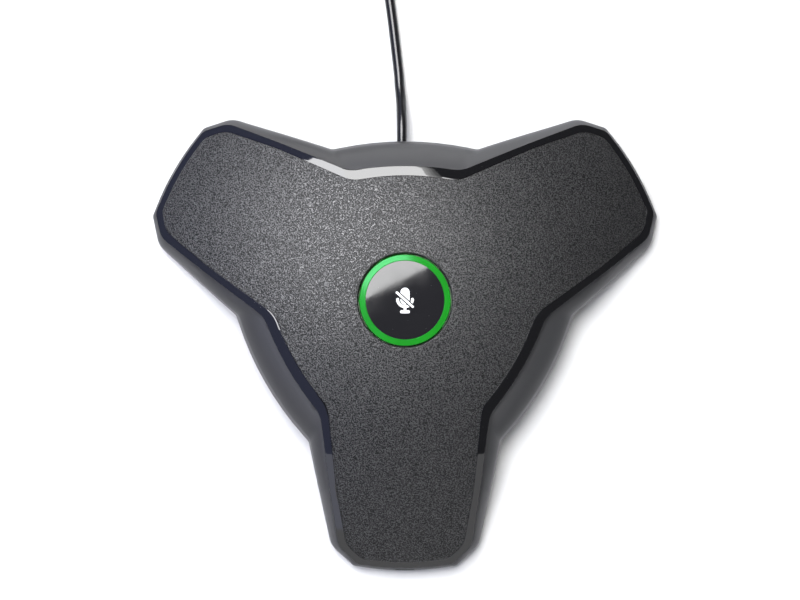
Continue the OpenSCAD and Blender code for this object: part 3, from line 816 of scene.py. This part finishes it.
cord_d = 3 * mm
route = [
    (-0.9, 47.9, 6), (-0.9, 51, 6), (-0.9, 54, 5.7), (-1, 57, 4.9), (-1.1, 60, 3.7),
    (-1.3, 63, 2.6), (-1.6, 66, 1.9), (-1.8, 69, 1.6), (-2.1, 72, 1.5), (-2.8, 78, 1.5),
    (-3.5, 84, 1.5), (-4.3, 90, 1.5), (-5.1, 96, 1.5), (-5.9, 102, 1.5), (-6.7, 108, 1.5),
    (-7.2, 111.6, 1.5),
]
tail = [
    (-41.4, 141.4, 9.7), (-44.9, 140.5, 8.9), (-48.5, 139.1, 7.8), (-51.9, 137.1, 6.6),
    (-54.9, 134.4, 5.4), (-57.4, 131.1, 4.4), (-59.1, 127.8, 3.7), (-60, 124.8, 3.4),
    (-60.3, 122, 3.3), (-60.3, 120.4, 3.3),
]
coil_at = (-30, 120)
pitch = 3
layer_rise = 2.6
tie_at = 250
coil_starts = 8
leaving = 138


def coil_turns():
    """The turns as (last angle, radius, height): wide layers of four, narrow ones of three."""
    rows = []
    angle = coil_starts
    for layer in range(4):
        wide = [21 - pitch * k for k in range(4)]
        narrow = [13.5 + pitch * k for k in range(3)]
        radii = narrow if layer % 2 else wide
        for k, r in enumerate(radii):
            angle += 320 if k == len(radii) - 1 else 360
            rows.append((angle, r, 1.5 + layer_rise * layer))
    return rows


def coil_points():
    """Places along the coil: a turn keeps its radius, then slips to the next over 40 degrees."""
    slip = 40
    rows = coil_turns()
    leaves = rows[-1][0] - 230
    found = []
    angle = coil_starts
    while angle < leaves + leaving:
        i = next(k for k, row in enumerate(rows) if angle <= row[0] or k == len(rows) - 1)
        end, r, z = rows[i]
        share = max(0.0, (angle - end + slip) / slip)
        ease = share * share * (3 - 2 * share)
        if i < len(rows) - 1:
            r += (rows[i + 1][1] - r) * ease
            z += (rows[i + 1][2] - z) * min(1.0, 1.4 * ease)
        out = max(0.0, (angle - leaves) / leaving)
        r += (24.25 - r) * out * out * (2 - out) if out else 0
        z += 0.4 * min(1.0, 2 * out)
        near_tie = ((angle - tie_at + 180) % 360 - 180) / 22
        z += 0.5 * math.exp(-near_tie * near_tie)
        wander = 0.06 * math.sin(angle * 0.0231) + 0.05 * math.sin(angle * 0.0613 + 1)
        a = math.radians(angle)
        found.append((coil_at[0] + (r + wander) * math.cos(a), coil_at[1] + (r + wander) * math.sin(a), z))
        angle += 12
    return found


def smooth_jacket():
    """Shiny black jacket, with the faint print of the strands beneath it."""
    made = Finish("smooth_jacket", {"IOR": 1.5})
    mottle = made.noise(1.5 * mm, 3)
    made.feed({
        "Base Color": made.tint(mottle, grey(0.006, 1.1), grey(0.011, 1.1)),
        "Roughness": 0.2 + 0.04 * mottle,
        "Normal": made.bump(mottle, 0.003 * mm),
    })
    return made


def run_of_cord(name, points, radius, finish):
    """A round cord along a smooth line through the points, which are in millimetres."""
    line = bpy.data.curves.new(name, "CURVE")
    line.dimensions = "3D"
    line.bevel_depth = radius
    line.bevel_resolution = 5
    line.resolution_u = 4
    line.use_fill_caps = True
    spline = line.splines.new("BEZIER")
    spline.bezier_points.add(len(points) - 1)
    for knot, p in zip(spline.bezier_points, points):
        knot.co = Vector(p) * mm
        knot.handle_left_type = "AUTO"
        knot.handle_right_type = "AUTO"
    line.materials.append(finish.material)
    made = bpy.data.objects.new(name, line)
    scene.collection.objects.link(made)
    return made


jacket = smooth_jacket()
lead = run_of_cord("lead", route + coil_points() + tail, cord_d / 2, jacket)
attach(lead, "housing")
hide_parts("cord", "cord_coil", "cord_tail")

# ---- Lead anchorage ----
# Inside, a rubber grommet seats against the wall, and a nylon bar clamps the lead to two posts
# with two screws. The lead then climbs to its plug on the board.

dress(soft_rubber, "cord_grommet")
dress(black_nylon, "cable_clamp")
dress(zinc, "clamp_screws")
dress(jacket, "inner_cord")

# ---- Coil tie ----
# A strip of black hook-and-loop tape, wound once round the coil. Its end overlaps on the
# outside and presses fast.

tie_w = 8
tie_t = 0.5
tie_r = 16.5
tie_corners = [
    (-6.25, 0.25, 1.75), (6.25, 0.25, 1.75), (6.25, 7.68, 1.7),
    (4.02, 11.55, 1.7), (-4.02, 11.55, 1.7), (-6.25, 7.68, 1.7),
]
tie_section = [
    (-1, -0.5), (-1, 0.5), (-0.96, 1), (0.96, 1), (1, 0.5), (1, -0.5), (0.96, -1), (-0.96, -1),
]


def tie_skin():
    """The strip as a band of rounded section along a closed line that laps over its start."""
    line = outline([(Vector((u, z)) * mm, r * mm) for u, z, r in tie_corners])
    start = 3 * (ARC_STEPS + RUN_STEPS) + 3
    line = line[start:] + line[:start]
    lap = 26
    path = line + line[:lap]
    rings = []
    for i, p in enumerate(path):
        ahead = (line[(i + 1) % len(line)] - line[(i - 1) % len(line)]).normalized()
        out = Vector((ahead.y, -ahead.x))
        lift = min(1.0, max(0.0, (i - len(line) + 5) / 5))
        centre = p + out * lift * (tie_t + 0.06) * mm
        section = []
        for w, h in tie_section:
            q = centre + out * h * tie_t / 2 * mm
            section.append(Vector((q.x + tie_r * mm, w * tie_w / 2 * mm, q.y)))
        rings.append(section)
    skin = loft(rings, closed=False)
    bmesh.ops.holes_fill(skin, edges=[e for e in skin.edges if e.is_boundary])
    turn = Matrix.Rotation(math.radians(tie_at), 4, "Z")
    place = Matrix.Translation(Vector((*coil_at, 0)) * mm) @ turn
    bmesh.ops.transform(skin, matrix=place, verts=skin.verts)
    return skin


def loop_pile():
    """Brushed nylon loops, in rows across the tape."""
    made = Finish("loop_pile", {"Sheen Weight": 0.4, "Sheen Roughness": 0.5})
    loops = made.noise(0.3 * mm, 3, 0.7)
    rows = made.noise(0.9 * mm, 1)
    made.feed({
        "Base Color": made.tint(loops, grey(0.006), grey(0.03)),
        "Roughness": 0.75 + 0.2 * rows,
        "Normal": made.bump(loops * 0.7 + rows * 0.3, 0.12 * mm),
    })
    return made


tie = piece("hook_and_loop_tie", tie_skin(), "housing", loop_pile(), "tie_black", "coil_tie", sharp=50)

# ---- Plug ----
# A clear six-way modular plug with gold-plated blades and a springy latch, all one moulding
# but for the blades. A ribbed rubber boot, moulded on the lead, keeps it from kinking.

plug_at = (-60.3, 112, 3.3)
boot_l = 9.95


def boot_profile():
    """A taper with five grooves and a blind hole for the lead."""
    line = [(0, 0), (3.0, 0), (3.1, 0.15)]
    for k in range(5):
        z = 1.2 + 1.6 * k
        r = 3.1 - z / boot_l
        line += [(r, z), (r - 0.12, z + 0.1), (r - 0.5, z + 0.2), (r - 0.5, z + 0.6), (r - 0.2, z + 0.72),
                 (r - 0.1, z + 0.85)]
    return line + [(2.2, boot_l - 0.2), (2.0, boot_l), (1.52, boot_l), (1.52, 8), (0, 8)]


def clear_resin():
    """Clear polycarbonate with faint flow marks and finger grease."""
    made = Finish("clear_resin", {"IOR": 1.58, "Transmission Weight": 0.85})
    flow = made.noise(2 * mm, 3)
    made.feed({
        "Base Color": made.tint(flow, (0.78, 0.82, 0.86, 1), (0.86, 0.89, 0.92, 1)),
        "Roughness": 0.05 + 0.12 * flow,
        "Normal": made.bump(flow, 0.01 * mm),
    })
    return made


boot_skin = lathe(boot_profile(), 48)
boot_place = Matrix.Translation(Vector(plug_at) * mm) @ Matrix.Rotation(-math.pi / 2, 4, "X")
bmesh.ops.transform(boot_skin, matrix=boot_place, verts=boot_skin.verts)
boot = piece("ribbed_boot", boot_skin, "housing", soft_rubber, "foot_rubber", "plug_boot", sharp=40)
clear = clear_resin()
dress(clear, "plug_body", "plug_latch")
dress(metal("gold_plate", (0.83, 0.6, 0.2, 1), 0.2), "plug_contacts")
